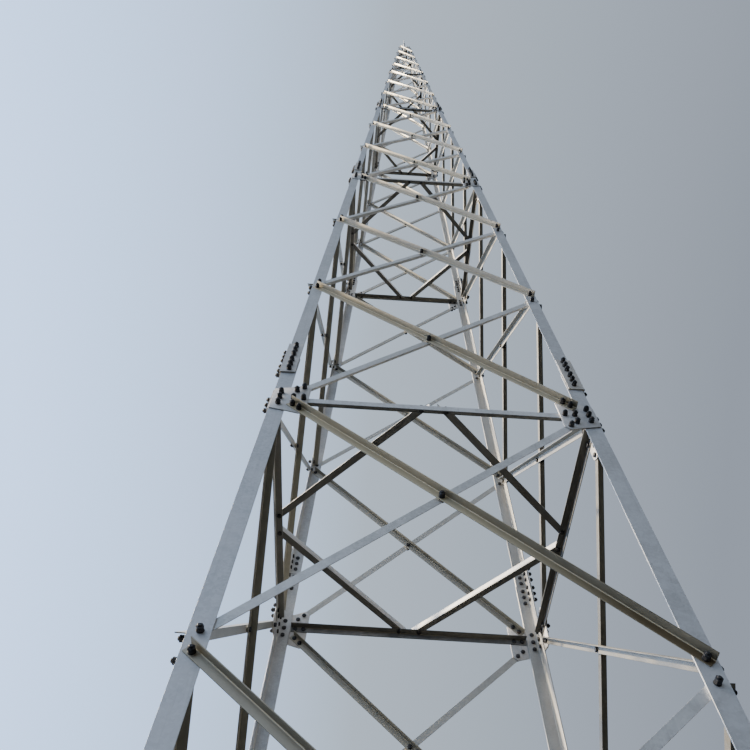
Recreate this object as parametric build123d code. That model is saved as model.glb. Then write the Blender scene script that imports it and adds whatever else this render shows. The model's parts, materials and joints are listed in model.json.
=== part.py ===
from build123d import *
import os
from math import atan, cos, sin, sqrt

# Square lattice tower of bolted steel angles. It tapers straight from four feet to a short top frame,
# which carries a lightning rod. All sizes are in millimetres.
# Each of the four sides is the front side turned about the tower's axis, so it is drawn once.

# Overall form
base_width = 1930.0
upper_width = 400.0
section_height = 5000.0
section_count = 5
bays_per_section = 3
top_bays = 1
seat_gap = 0.2

# Leg angles of the sections, from the ground up
first_leg_flange = 80.0
first_leg_thickness = 8.0
second_leg_flange = 75.0
second_leg_thickness = 7.0
third_leg_flange = 63.0
third_leg_thickness = 6.0
fourth_leg_flange = 56.0
fourth_leg_thickness = 5.0
fifth_leg_flange = 50.0
fifth_leg_thickness = 5.0
leg_gauge_shift = 1.5

# Bracing angles of the sections, from the ground up
first_brace_flange = 40.0
first_brace_thickness = 4.0
second_brace_flange = 40.0
second_brace_thickness = 4.0
third_brace_flange = 40.0
third_brace_thickness = 4.0
fourth_brace_flange = 36.0
fourth_brace_thickness = 4.0
fifth_brace_flange = 34.0
fifth_brace_thickness = 4.0

# Bolted ends and crossings of the bracing
brace_pair_offset = 49.0
brace_end_distance = 27.0
brace_bolt_pitch = 50.0
spacer_radius = 15.0
spacer_bite = 1.0

# Gusset plates at the section levels, wide where the bracing fans out beside the leg
fan_sections = 3
gusset_thickness = 6.0
gusset_inset = 3.0
gusset_edge_height = 100.0
gusset_shoulder = 20.0
gusset_corner = 15.0
narrow_gusset_height = 82.0
narrow_gusset_reach = 50.0

# Level struts and the diamond of plan bracing on them
strut_flange = 42.0
strut_thickness = 5.0
narrow_strut_flange = 40.0
narrow_strut_thickness = 4.0
strut_end_gap = 3.0
plan_flange = 40.0
plan_thickness = 4.0
plan_end_gap = 2.0
plan_end_offset = 65.0

# Splice angles over the butted leg ends
splice_rise = 480.0
splice_length = 360.0
splice_thickness = 8.0
butt_gap = 4.0

# Feet
foot_plate_side = 340.0
foot_plate_thickness = 20.0
foot_overhang = 135.0
anchor_spacing = 240.0
anchor_hole_radius = 16.0
foot_joint_height = 90.0
shoe_thickness = 8.0
shoe_foot_reach = 190.0
rib_thickness = 8.0
rib_reach = 105.0
rib_height = 170.0
rib_edge = 18.0

# Earthing lugs inside the legs
lug_height = 330.0
lug_reach = 70.0
lug_width = 60.0
lug_thickness = 6.0
lug_hole_radius = 7.0
lug_hole_edge = 24.0

# Top frame and lightning rod
cradle_spread = 90.0
cradle_flange = 40.0
cradle_thickness = 4.0
seat_side_gap = 1.5
seat_length = 160.0
seat_thickness = 10.0
socket_wall = 6.0
socket_height = 180.0
rod_clearance = 0.3
rod_radius = 30.0
rod_wall = 4.0
rod_length = 2000.0
plug_thickness = 20.0
collar_radius = 36.0
collar_height = 40.0
needle_radius = 12.5
needle_length = 1258.0
needle_tip_radius = 1.5
needle_taper = 120.0

# Values that follow from the sizes above
leg_sizes = [
    (first_leg_flange, first_leg_thickness),
    (second_leg_flange, second_leg_thickness),
    (third_leg_flange, third_leg_thickness),
    (fourth_leg_flange, fourth_leg_thickness),
    (fifth_leg_flange, fifth_leg_thickness),
]
brace_sizes = [
    (first_brace_flange, first_brace_thickness),
    (second_brace_flange, second_brace_thickness),
    (third_brace_flange, third_brace_thickness),
    (fourth_brace_flange, fourth_brace_thickness),
    (fifth_brace_flange, fifth_brace_thickness),
]
bay_height = section_height / bays_per_section
top_level = section_count * bays_per_section + top_bays
slope = (base_width - upper_width) / 2 / (section_height * section_count)
lean = atan(slope)
outward = Vector(0, -cos(lean), sin(lean))
standing = (Align.CENTER, Align.CENTER, Align.MIN)
foot_shift = base_width / 2 + foot_overhang - foot_plate_side / 2


def half_width(z):
    """Half the tower's width over the heels of the legs at height z."""
    return base_width / 2 - slope * z


def on_front(x, z, offset=0.0):
    """Point of the front side at x and height z, moved outward by offset."""
    return Vector(x, -half_width(z), z) + outward * offset


def level_height(level):
    """Height of a bracing level: the feet, the lines between bays and the top."""
    return foot_plate_thickness + foot_joint_height if level == 0 else level * bay_height


def section_at(z):
    """Index of the section whose leg angle stands at height z."""
    return min(int(max(z - splice_rise, 0) // section_height), section_count - 1)


def leg_size(z):
    """Flange and thickness of the leg angle at height z."""
    return leg_sizes[min(section_at(z), len(leg_sizes) - 1)]


def leg_gauge(z):
    """Distance of the bolt line from the heel of the leg angle at height z."""
    return leg_size(z)[0] / 2 + leg_gauge_shift


def brace_size(level):
    """Flange and thickness of the bracing in the bay above a level."""
    return brace_sizes[min(section_at(level_height(level + 1)), len(brace_sizes) - 1)]


def joint_kind(level):
    """Fan joints land on a wide gusset, narrow ones on the leg through a small gusset, plain ones on the leg."""
    if level % bays_per_section and level != top_level:
        return "plain"
    return "fan" if level <= fan_sections * bays_per_section else "narrow"


def prism(points, sweep):
    """Solid swept from a flat outline along a straight vector."""
    return extrude(make_face(Polyline(*points, close=True)), amount=sweep.length, dir=sweep.normalized())


def corner_piece(outline, z_low, z_high):
    """Piece that follows the front left leg: its plan outline is measured from the heel."""
    heel = half_width(z_low)
    points = [Vector(x - heel, y - heel, z_low) for x, y in outline]
    return prism(points, Vector(slope, slope, 1) * (z_high - z_low))


def front_plate(outline, side, thickness):
    """Plate outside the front side: its outline is inward distance from the heel and height."""
    points = [on_front(side * (half_width(z) - x), z, seat_gap) for x, z in outline]
    return prism(points, outward * thickness)


def around(pieces):
    """The pieces of the front side or front left corner, repeated on all four."""
    return [Rot(0, 0, 90 * turn) * piece for turn in range(4) for piece in pieces]


def splice_height(section):
    """Height of the butt under a section."""
    return section * section_height + splice_rise


def leg_angle(section):
    """Leg of one section, from butt to butt."""
    bottom = splice_height(section) + butt_gap / 2 if section else foot_plate_thickness + seat_gap
    top = splice_height(section + 1) - butt_gap / 2
    if section == section_count - 1:
        top = level_height(top_level) + narrow_strut_flange / 2
    flange, thickness = leg_sizes[min(section, len(leg_sizes) - 1)]
    wall = thickness / cos(lean)
    outline = [(0, 0), (flange, 0), (flange, wall), (wall, wall), (wall, flange), (0, flange)]
    return corner_piece(outline, bottom, top)


def splice_angle(section):
    """Cover angle outside the butt under a section."""
    near, far = -seat_gap, -seat_gap - splice_thickness
    middle = splice_height(section)
    reach = leg_size(middle + butt_gap)[0]
    outline = [(far, far), (reach, far), (reach, near), (near, near), (near, reach), (far, reach)]
    return corner_piece(outline, middle - splice_length / 2, middle + splice_length / 2)


def work_height(level, above):
    """Height of the work point of a brace in the bay above or below a level."""
    z = level_height(level)
    if joint_kind(level) == "fan":
        return z
    return z + brace_pair_offset if above else z - brace_pair_offset


def work_point(level, above, side):
    """Work point of a brace on the bolt line of the front side's left or right leg."""
    z = work_height(level, above)
    return on_front(side * (half_width(z) - leg_gauge(level_height(level))), z)


def brace_slope(level, above):
    """Sine and cosine of the bracing in the bay above or below a level."""
    low = level if above else level - 1
    along = (work_point(low + 1, False, 1) - work_point(low, True, -1)).normalized()
    return along.Z, along.X


def clear_distance(level, above, inward):
    """Distance along a brace from the bolt line to where all its width lies inward of it by a given amount."""
    rise, run = brace_slope(level, above)
    half = brace_size(level if above else level - 1)[0] / 2
    slant = slope if above else -slope
    return (inward + half * (rise + slant * run)) / (run - slant * rise)


def fan_start(level, above):
    """Distance from the work point of a fanned brace to its end, beside the leg's flange."""
    z = level_height(level)
    return clear_distance(level, above, leg_size(z)[0] + strut_end_gap - leg_gauge(z))


def fan_reach(level, above):
    """Distance from the work point of a fanned brace to where it leaves the plate."""
    return fan_start(level, above) + 2 * brace_end_distance + brace_bolt_pitch


def brace_end(level, outer, above):
    """End of a brace in the bay above or below a level.

    Gives the offset of its bearing face from the front side, and the distances from its work point to its end
    and to where it comes clear of what it bears on.
    """
    z = level_height(level)
    flange, thickness = leg_size(z)
    gauge = leg_gauge(z)
    kind = joint_kind(level)
    plate = (shoe_thickness if level == 0 else gusset_thickness) + 2 * seat_gap
    if kind == "fan":
        return plate if outer else 0.0, fan_start(level, above), fan_reach(level, above)
    bearing = clear_distance(level, above, flange - gauge)
    if not outer:
        root = clear_distance(level, above, thickness + 2 * seat_gap - gauge)
        return -thickness - seat_gap, max(-brace_end_distance, root), bearing
    if kind == "narrow":
        return plate, -brace_end_distance, bearing + narrow_gusset_reach
    return seat_gap, -brace_end_distance, bearing


def brace_bar(level, outer):
    """Brace of the bay above a level: the outer one falls to the right, the inner one rises to the right."""
    side = 1 if outer else -1
    offset_low, start_low, bearing_low = brace_end(level, outer, True)
    offset_high, start_high, bearing_high = brace_end(level + 1, outer, False)
    foot, head = work_point(level, True, side), work_point(level + 1, False, -side)
    length = (head - foot).length
    along = (head - foot).normalized()
    # The bar leans from one bearing face to the other and stays clear of both
    step = offset_high - offset_low
    moves_away = step * side > 0
    first = start_low if moves_away else bearing_low
    last = length - (bearing_high if moves_away else start_high)
    drift = step / (last - first)
    end_low = foot + along * start_low + outward * (offset_low + drift * (start_low - first))
    end_high = foot + along * (length - start_high) + outward * (offset_low + drift * (length - start_high - first))
    axis = (end_high - end_low).normalized()
    # The heel runs along the upper edge, and the other flange stands away from the leg
    across = axis.cross(outward).normalized() * side
    away = across.cross(axis).normalized() * side
    flange, thickness = brace_size(level)
    edge = flange / 2
    outline = [(-edge, 0), (edge, 0), (edge, flange), (edge - thickness, flange)]
    outline += [(edge - thickness, thickness), (-edge, thickness)]
    points = [end_low + across * a + away * (side * n) for a, n in outline]
    return prism(points, end_high - end_low), end_low, axis


def brace_cross(level):
    """Both braces of a bay with the spacer that joins them at their crossing."""
    outer_bar, outer_end, outer_axis = brace_bar(level, True)
    inner_bar, inner_end, inner_axis = brace_bar(level, False)
    outer_point = outer_end - outer_axis * (outer_end.X / outer_axis.X)
    inner_point = inner_end - inner_axis * (inner_end.X / inner_axis.X)
    gap = (outer_point - inner_point).dot(outward)
    place = Plane(origin=inner_point - outward * spacer_bite, x_dir=(1, 0, 0), z_dir=outward)
    spacer = place * Cylinder(spacer_radius, gap + 2 * spacer_bite, align=standing)
    return outer_bar + inner_bar + spacer


def fan_edge(level, above):
    """Half outline of a fan plate, from the heel's edge out to the far corner, as inward distance and height."""
    z = level_height(level)
    rise, run = brace_slope(level, above)
    reach = fan_reach(level, above)
    tip = leg_gauge(z) + reach * run
    points = [
        (gusset_inset, gusset_edge_height),
        (leg_size(z)[0], gusset_edge_height + gusset_shoulder),
        (tip - gusset_corner, reach * rise + gusset_corner),
        (tip + gusset_corner, reach * rise - gusset_corner),
    ]
    return [(x, z + height if above else z - height) for x, height in points]


def narrow_edge(level, above):
    """Half outline of a narrow gusset, as inward distance and height."""
    z = level_height(level)
    height = narrow_strut_flange / 2 if above and level == top_level else narrow_gusset_height
    flange = leg_size(z)[0]
    points = [(gusset_inset, height), (flange, height), (flange + narrow_gusset_reach, gusset_corner)]
    return [(x, z + rise if above else z - rise) for x, rise in points]


def gussets(level):
    """The two gusset plates of the front side at a level."""
    edge = fan_edge if joint_kind(level) == "fan" else narrow_edge
    outline = edge(level, True) + edge(level, False)[::-1]
    return [front_plate(outline, side, gusset_thickness) for side in (-1, 1)]


def foot_shoes():
    """The two upright plates of the front side that the lowest bracing lands on."""
    floor = foot_plate_thickness + seat_gap
    outline = fan_edge(0, True) + [(shoe_foot_reach, floor), (gusset_inset, floor)]
    return [front_plate(outline, side, shoe_thickness) for side in (-1, 1)]


def foot_ribs():
    """The two ribs in the plane of the front shoes, outside the corners; one stands clear of its neighbour."""
    floor = foot_plate_thickness + seat_gap
    ribs = []
    for side, clear in ((-1, rib_thickness + 2 * seat_gap), (1, seat_gap)):
        outline = [(-clear, floor), (-clear, floor + rib_height), (-clear - rib_edge, floor + rib_height)]
        outline += [(-clear - rib_reach, floor + rib_edge), (-clear - rib_reach, floor)]
        ribs.append(front_plate(outline, side, rib_thickness))
    return ribs


def strut_size(level):
    """Flange and thickness of the level struts, smaller where the tower is narrow."""
    if joint_kind(level) == "fan":
        return strut_flange, strut_thickness
    return narrow_strut_flange, narrow_strut_thickness


def level_strut(level):
    """Strut of the front side: upright flange behind the gussets, level flange inward at the top."""
    z = level_height(level)
    flange, thickness = strut_size(level)
    low, high = z - flange / 2, z + flange / 2
    wall = thickness / cos(lean)
    reach = half_width(high) - leg_size(z)[0] - strut_end_gap
    front_low, front_high = -half_width(low), -half_width(high)
    outline = [
        (front_low, low),
        (front_high, high),
        (front_high + flange, high),
        (front_high + flange, high - thickness),
        (front_high - slope * thickness + wall, high - thickness),
        (front_low + wall, low),
    ]
    return prism([Vector(-reach, y, height) for y, height in outline], Vector(2 * reach, 0, 0))


def strut_seat(level):
    """Height of what lies on the struts' level flanges."""
    return level_height(level) + strut_size(level)[0] / 2 + seat_gap


def inside_struts(level, top):
    """Half width between the upright flanges of opposite struts, up to height top."""
    return half_width(top) - strut_size(level)[1] / cos(lean) - plan_end_gap


def plan_bar(level):
    """Bar of the diamond that joins the middles of two struts, with its upright flange inward."""
    low = strut_seat(level)
    clear = inside_struts(level, low + plan_flange)
    half = plan_flange / 2
    centre = -(clear - half + plan_end_offset) / 2
    across = Vector(1, 1, 0).normalized()
    along = Vector(-1, 1, 0).normalized()
    outline = [(-half, 0), (half, 0), (half, plan_flange), (half - plan_thickness, plan_flange)]
    outline += [(half - plan_thickness, plan_thickness), (-half, plan_thickness)]
    start = Vector(centre, centre, low) - along * (2 * clear)
    points = [start + across * a + Vector(0, 0, height) for a, height in outline]
    limits = Pos(0, 0, low) * Box(2 * clear, 2 * clear, 4 * plan_flange)
    return prism(points, along * (4 * clear)) & limits


def foot_plate():
    """Foot plate under the front left leg with its four anchor holes."""
    plate = Box(foot_plate_side, foot_plate_side, foot_plate_thickness, align=standing)
    for place in GridLocations(anchor_spacing, anchor_spacing, 2, 2):
        plate -= place * Cylinder(anchor_hole_radius, 3 * foot_plate_thickness)
    return Pos(-foot_shift, -foot_shift, 0) * plate


def earth_lug():
    """Upright lug with one hole, on the inside of the front left leg's front flange."""
    flange, thickness = leg_size(lug_height)
    root = thickness / cos(lean) + seat_gap
    edge = flange - lug_thickness
    outline = [(edge, root), (flange, root), (flange, root + lug_reach), (edge, root + lug_reach)]
    lug = corner_piece(outline, lug_height, lug_height + lug_width)
    middle = lug_height + lug_width / 2
    hole_x = flange - half_width(middle)
    hole_y = root + lug_reach - lug_hole_edge - half_width(middle)
    return lug - Pos(hole_x, hole_y, middle) * Rot(0, 90, 0) * Cylinder(lug_hole_radius, 4 * lug_thickness)


def cradle_bars():
    """Two angles that lie front to back on the top struts, with their upright flanges outward."""
    low = strut_seat(top_level)
    reach = inside_struts(top_level, low + cradle_flange)
    near, far = cradle_spread / 2, cradle_spread / 2 + cradle_flange
    outline = [(near, 0), (far, 0), (far, cradle_flange), (far - cradle_thickness, cradle_flange)]
    outline += [(far - cradle_thickness, cradle_thickness), (near, cradle_thickness)]
    bars = []
    for side in (-1, 1):
        points = [Vector(side * x, -reach, low + height) for x, height in outline]
        bars.append(prism(points, Vector(0, 2 * reach, 0)))
    return bars


def seat_base():
    """Height of the rod's seat plate on the cradle."""
    return strut_seat(top_level) + cradle_thickness + seat_gap


def rod_base():
    """Height where the rod's tube stands on the seat plate."""
    return seat_base() + seat_thickness + seat_gap


def rod_seat():
    """Seat plate between the cradle's upright flanges, with the socket of the rod."""
    width = cradle_spread + 2 * (cradle_flange - cradle_thickness - seat_side_gap)
    bore_radius = rod_radius + rod_clearance
    plate = Box(width, seat_length, seat_thickness, align=standing)
    socket = Cylinder(bore_radius + socket_wall, seat_thickness + socket_height, align=standing)
    bore = Pos(0, 0, seat_thickness) * Cylinder(bore_radius, socket_height, align=standing)
    return Pos(0, 0, seat_base()) * (plate + socket - bore)


def rod_tube():
    """Tube of the rod, closed by a plug at the top."""
    tube = Cylinder(rod_radius, rod_length, align=standing)
    bore = Cylinder(rod_radius - rod_wall, rod_length - plug_thickness, align=standing)
    return Pos(0, 0, rod_base()) * (tube - bore)


def rod_needle():
    """Collar on the tube's plug with the needle and its turned point."""
    shaft_height = collar_height + needle_length - needle_taper
    collar = Cylinder(collar_radius, collar_height, align=standing)
    shaft = Cylinder(needle_radius, shaft_height, align=standing)
    point = Pos(0, 0, shaft_height) * Cone(needle_radius, needle_tip_radius, needle_taper, align=standing)
    return Pos(0, 0, rod_base() + rod_length + seat_gap) * (collar + shaft + point)


def section_nodes(section):
    """Legs, leg splices, gusset plates, level struts and plan bracing of one section."""
    number = section + 1
    level = number * bays_per_section
    nodes = {f"section_{number}_legs": around([leg_angle(section)])}
    if section:
        nodes[f"section_{number}_leg_splices"] = around([splice_angle(section)])
    nodes[f"level_{number}_gusset_plates"] = around(gussets(level))
    nodes[f"level_{number}_struts"] = around([level_strut(level)])
    nodes[f"level_{number}_plan_bracing"] = around([plan_bar(level)])
    return nodes


def bracing_nodes():
    """Bracing of the four sides, each side in a lower and an upper stretch."""
    middle = (section_count // 2) * bays_per_section
    stretches = {"lower": range(middle), "upper": range(middle, top_level)}
    nodes = {}
    for stretch, levels in stretches.items():
        crosses = [brace_cross(level) for level in levels]
        for turn, side in enumerate(("front", "right", "back", "left")):
            nodes[f"{side}_{stretch}_bracing"] = [Rot(0, 0, 90 * turn) * cross for cross in crosses]
    return nodes


def tower_nodes():
    """Every sub-part by name, as its pieces about the tower's axis."""
    nodes = {
        "foot_plates": around([foot_plate()]),
        "foot_shoes": around(foot_shoes()),
        "foot_ribs": around(foot_ribs()),
        "earth_lugs": around([earth_lug()]),
    }
    for section in range(section_count):
        nodes.update(section_nodes(section))
    nodes.update(bracing_nodes())
    nodes["top_gusset_plates"] = around(gussets(top_level))
    nodes["top_struts"] = around([level_strut(top_level)])
    nodes["rod_cradle"] = cradle_bars()
    nodes["rod_seat"] = [rod_seat()]
    nodes["rod_tube"] = [rod_tube()]
    nodes["rod_needle"] = [rod_needle()]
    return nodes


def write_nodes():
    """Write each sub-part with the origin under the middle of the front left foot plate."""
    os.makedirs("parts", exist_ok=True)
    to_origin = Pos(foot_shift, foot_shift, 0)
    for name, pieces in tower_nodes().items():
        solids = [solid for piece in pieces for solid in (to_origin * piece).solids()]
        export_step(Compound(children=solids), f"parts/{name}.step")


write_nodes()
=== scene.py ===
import functools
import json
import math
import random

import bmesh
import bpy
from bpy.props import FloatProperty, FloatVectorProperty, PointerProperty
from mathutils import Matrix, Vector
from mathutils.bvhtree import BVHTree


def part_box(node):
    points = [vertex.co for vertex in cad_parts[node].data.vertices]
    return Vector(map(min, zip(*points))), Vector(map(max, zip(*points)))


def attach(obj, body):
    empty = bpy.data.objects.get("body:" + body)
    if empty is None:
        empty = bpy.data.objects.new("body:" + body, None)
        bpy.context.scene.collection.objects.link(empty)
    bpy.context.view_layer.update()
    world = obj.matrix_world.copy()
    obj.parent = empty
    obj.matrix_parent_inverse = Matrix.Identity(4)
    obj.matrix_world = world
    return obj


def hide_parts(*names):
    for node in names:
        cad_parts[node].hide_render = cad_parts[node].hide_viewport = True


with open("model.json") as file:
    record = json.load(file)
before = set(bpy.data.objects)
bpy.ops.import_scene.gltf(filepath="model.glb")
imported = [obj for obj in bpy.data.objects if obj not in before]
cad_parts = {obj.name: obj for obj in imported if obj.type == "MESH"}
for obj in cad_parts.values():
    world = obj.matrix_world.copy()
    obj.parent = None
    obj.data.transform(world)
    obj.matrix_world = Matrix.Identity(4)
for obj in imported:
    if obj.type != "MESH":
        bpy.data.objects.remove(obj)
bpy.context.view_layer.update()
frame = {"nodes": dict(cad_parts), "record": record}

bl_info = {
    "name": "Lightning protection tower",
    "version": (1, 0, 0),
    "blender": (4, 5, 0),
    "location": "3D View > Sidebar > Tower",
    "description": "Rolled angles, plates, bolts, welds, zinc finishes and the stage of a lattice tower",
    "category": "Object",
}

UP = Vector((0, 0, 1))
SIDES = {
    "front": Vector((0, -1, 0)),
    "right": Vector((1, 0, 0)),
    "back": Vector((0, 1, 0)),
    "left": Vector((-1, 0, 0)),
}
SECTIONS = (1, 2, 3, 4, 5)
# Levels with wide gusset plates and rows of bolts
WIDE_LEVELS = (1, 2, 3)
SEAT_LOW, SEAT_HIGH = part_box("rod_seat")
TOWER_AXIS = (SEAT_LOW + SEAT_HIGH) / 2
SLOT_COLOURS = {entry["slot"]: tuple(entry["base_color"][:3]) for entry in frame["record"]["materials"]}

# Wear and painted light of the outer and the inner braces of a side: the dullness of their zinc, from 0 to 1,
# which also paints warm light on the front braces, and the grime and painted shade at their top and at their
# foot, which is below 0 where the painted shade is lessened
BRACE_WEAR_AND_LIGHT = {
    "front": ((0.6, -1.2, -0.8), (0.05, -0.3, -0.2)),
    "right": ((0.3, 1.1, 1.2), (0.3, 0.8, 0.9)),
    "back": ((0.2, 0.4, 0.4), (0.5, 0.45, 0.9)),
    "left": ((0.1, 0.65, 0.65), (0.1, 0.65, 0.65)),
}
# Wear and painted shade of the front's outer braces whose top is below a height, the lowest first: the lower
# braces are painted darker
LOW_FRONT_WEAR_AND_SHADE = ((3.6, (0.6, 0.5, 1.0)), (5.3, (0.95, -0.5, 1.7)), (7.0, (0.8, -0.6, 0.4)))
# Wear of the back legs, by whether they stand on the right: painted shade on the back right legs, as dullness
# and grime
BACK_LEG_WEAR_AND_SHADE = {True: (0.3, 0.25, 0.35), False: (0.0, 0.0, 0.0)}
# Painted shade as grime at both ends of the back and right struts, which are in the shade
SHADED_STRUT_PAINTED_SHADE = (0.8, 0.8)
# Grime and painted shade taken off a brace for each metre of its height, so that higher braces are lighter
LESS_GRIME_AND_SHADE_PER_METRE = 0.04

# Shapes of a bolt's parts, as shares of its thread's diameter: height and corner drop of the hexagons,
# radius and thickness of the washer
ACROSS_FLATS = 1.5
HEAD = (0.64, 0.1)
NUT = (0.85, 0.1)
LOCK_NUT = (0.45, 0.08)
WASHER = (0.88, 0.16)
# Heights of the washer, nut, lock nut and thread end over a face, also as shares
NUT_STACK = (0.0, 0.16, 1.03, 1.48)
# Thread that stands out of an anchor's nuts, also as a share
ANCHOR_THREAD = 0.9
# Weld at the rod's socket, as a share of the welds at the feet
SOCKET_WELD = 0.8

# Heights of the bolts over a shoe's lower edge, and of an anchor stud's lower end over the ground
SHOE_BOLT_HEIGHTS = (0.045, 0.1, 0.155)
STUD_FOOT = 0.001
# Margin of an earthing lug's edges, which its hole keeps clear of
LUG_MARGIN = 0.01
# The rod's seat: its plate's thickness, the bolts' distances from its edges, the screws' from its top
SEAT_PLATE = 0.010
SEAT_BOLT_INSET = (0.017, 0.022)
CLAMP_SCREW_DROPS = (0.035, 0.115)
# Radii that lie within the walls of the rod's socket and of the needle's collar
SOCKET_WALL = 0.033
COLLAR_WALL = 0.025


def number(name, description, default, **options):
    """A number that a user can change."""
    return FloatProperty(name=name, description=description, default=default, **options)


def metres(name, description, default, least=0.0):
    """A length that a user can change."""
    return number(name, description, default, min=least, unit="LENGTH", precision=4)


def radians(name, description, default):
    """An angle that a user can change."""
    return number(name, description, default, unit="ROTATION")


def tint(name, description, default):
    """A colour that a user can change."""
    options = {"name": name, "description": description, "default": default}
    return FloatVectorProperty(subtype="COLOR", size=3, min=0, max=1, **options)


class TowerSteelSettings(bpy.types.PropertyGroup):
    """Sizes of the rolled angles, plates and welds."""

    root_radius: number("Root radius", "Fillet of an angle, as a share of its flange's width", 0.09, min=0)
    toe_radius: number("Toe radius", "Rounding of a flange's edge, as a share of its thickness", 0.5, min=0)
    root_line: metres("Root line", "Width of the strip on each side of the fillet", 0.0015)
    stretch: metres("Stretch", "Length that an angle's surface is divided in", 0.2, 0.01)
    edge_radius: metres("Edge radius", "Softness of the cut edges under the zinc", 0.0006)
    weld_size: metres("Weld size", "Leg length of the fillet welds at the feet", 0.007)


class TowerBoltSettings(bpy.types.PropertyGroup):
    """Sizes and places of the bolts."""

    leg_bolt: metres("Leg bolt", "Thread diameter in the lower sections", 0.016)
    small_bolt: metres("Small bolt", "Thread diameter where the bracing is light", 0.012)
    anchor_bolt: metres("Anchor bolt", "Thread diameter of the anchor studs", 0.030)
    clamp_screw: metres("Clamp screw", "Thread diameter of the screws in the rod's socket", 0.010)
    needle_screw: metres("Needle screw", "Thread diameter of the screws in the needle's collar", 0.008)
    gauge_shift: metres("Gauge shift", "Distance of a bolt line beyond its flange's middle", 0.0015)
    end_distance: metres("End distance", "Distance of a first bolt from a brace's end", 0.027)
    plan_end: metres("Plan end distance", "Distance of a bolt from the end of plan bracing", 0.024)
    pitch: metres("Pitch", "Distance between two bolts in a brace or strut", 0.050)
    gusset_pitch: metres("Gusset pitch", "Distance between a gusset plate's bolts on the leg", 0.057)
    splice_end: metres("Splice end distance", "Distance of outer bolts from a splice's end", 0.035)
    splice_pitch: metres("Splice pitch", "Distance between the bolts of a splice", 0.054)
    splice_stagger: metres("Splice stagger", "Offset between the bolts of the two flanges", 0.012)
    collar_screw: metres("Collar screw", "Height of the screws above the collar's lower edge", 0.02)
    thread_end: metres("Thread end", "Length of thread that stands out of a nut", 0.006)


class TowerFinishSettings(bpy.types.PropertyGroup):
    """Colours of the zinc and the bolts."""

    leg_zinc: tint("Leg zinc", "Colour of the legs", SLOT_COLOURS["leg_steel"])
    brace_zinc: tint("Brace zinc", "Colour of the side bracing", (0.74, 0.745, 0.74))
    strut_zinc: tint("Strut zinc", "Colour of the struts and plan bracing", (0.80, 0.81, 0.82))
    plate_zinc: tint("Plate zinc", "Colour of gusset plates and splices", (0.74, 0.72, 0.70))
    foot_zinc: tint("Foot zinc", "Colour of the feet", SLOT_COLOURS["foot_steel"])
    rod_zinc: tint("Rod zinc", "Colour of the rod's tube and seat", SLOT_COLOURS["rod_steel"])
    needle_steel: tint("Needle steel", "Colour of the needle", SLOT_COLOURS["needle_steel"])
    # Both stains also paint shade: on the faces that look down, and with the grime over bars in the shade
    warm_stain: tint("Warm stain", "Dust under the legs, braces and plates", (0.225, 0.215, 0.17))
    dark_stain: tint("Dark stain", "Grime under struts and plan bracing", (0.125, 0.127, 0.12))
    bolt_steel: tint("Bolt steel", "Colour of bolts, nuts and washers", (0.035, 0.036, 0.04))
    spangle: metres("Spangle", "Size of the zinc's crystals", 0.011, 0.001)


class TowerStageSettings(bpy.types.PropertyGroup):
    """Camera, light and backdrop."""

    eye: FloatVectorProperty(
        name="Eye",
        description="Camera's place from the tower's axis and the ground",
        default=(-0.3078, -2.7322, 1.6304),
        subtype="TRANSLATION",
        unit="LENGTH",
    )
    yaw: radians("Yaw", "Turn of the camera to the right", 0.0149)
    pitch: radians("Pitch", "Upward tilt of the camera", 0.9636)
    roll: radians("Roll", "Tilt of the camera about its view", 0.0473)
    lens: number("Lens", "Focal length for a 36 mm sensor", 37.229, unit="CAMERA")
    rise: number("Rise", "Upward shift of the lens", 0.1321)
    backdrop_left: tint("Left backdrop", "Backdrop on the left", (0.42, 0.60, 0.92))
    backdrop_middle: tint("Middle backdrop", "Backdrop behind the tower", (0.212, 0.25, 0.294))
    backdrop_right: tint("Right backdrop", "Backdrop on the right", (0.126, 0.143, 0.172))
    backdrop_below: tint("Lower backdrop", "Light from below the floor", (0.028, 0.028, 0.027))
    front_tint: tint("Front tint", "Tint of the backdrop in front of the tower", (0.70, 0.655, 0.60))
    backdrop_light: number("Backdrop light", "Strength of the backdrop", 2.6, min=0)
    floor: tint("Floor", "Colour of the floor", (0.62, 0.60, 0.56))
    key_light: number("Key light", "Strength of the light from the left", 9.5, min=0)
    key_colour: tint("Key colour", "Colour of the light from the left", (1.0, 0.84, 0.60))
    key_spread: radians("Key spread", "Softness of the light from the left", math.radians(4))
    key_height: radians("Key height", "Elevation of the light", math.radians(40))
    glow_light: number("Glow light", "Strength of the haze round the key light", 3.0, min=0)
    glow_colour: tint("Glow colour", "Colour of the haze", (1.0, 0.86, 0.66))
    glow_spread: radians("Glow spread", "Softness of the haze", math.radians(50))


class Value:
    """A shader socket that takes part in Python sums."""

    def __init__(self, shader, socket):
        self.shader = shader
        self.socket = socket

    def join(self, operation, first, second):
        return self.shader.node("ShaderNodeMath", {"operation": operation}, {0: first, 1: second})

    def __add__(self, other):
        return self.join("ADD", self, other)

    def __sub__(self, other):
        return self.join("SUBTRACT", self, other)

    def __rsub__(self, other):
        return self.join("SUBTRACT", other, self)

    def __mul__(self, other):
        return self.join("MULTIPLY", self, other)

    __radd__ = __add__
    __rmul__ = __mul__

    def ramp(self, low, high, kind="SMOOTHSTEP"):
        """From 0 at low and below to 1 at high and above."""
        settings = {"interpolation_type": kind}
        return self.shader.node("ShaderNodeMapRange", settings, {0: self, 1: low, 2: high})


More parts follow.
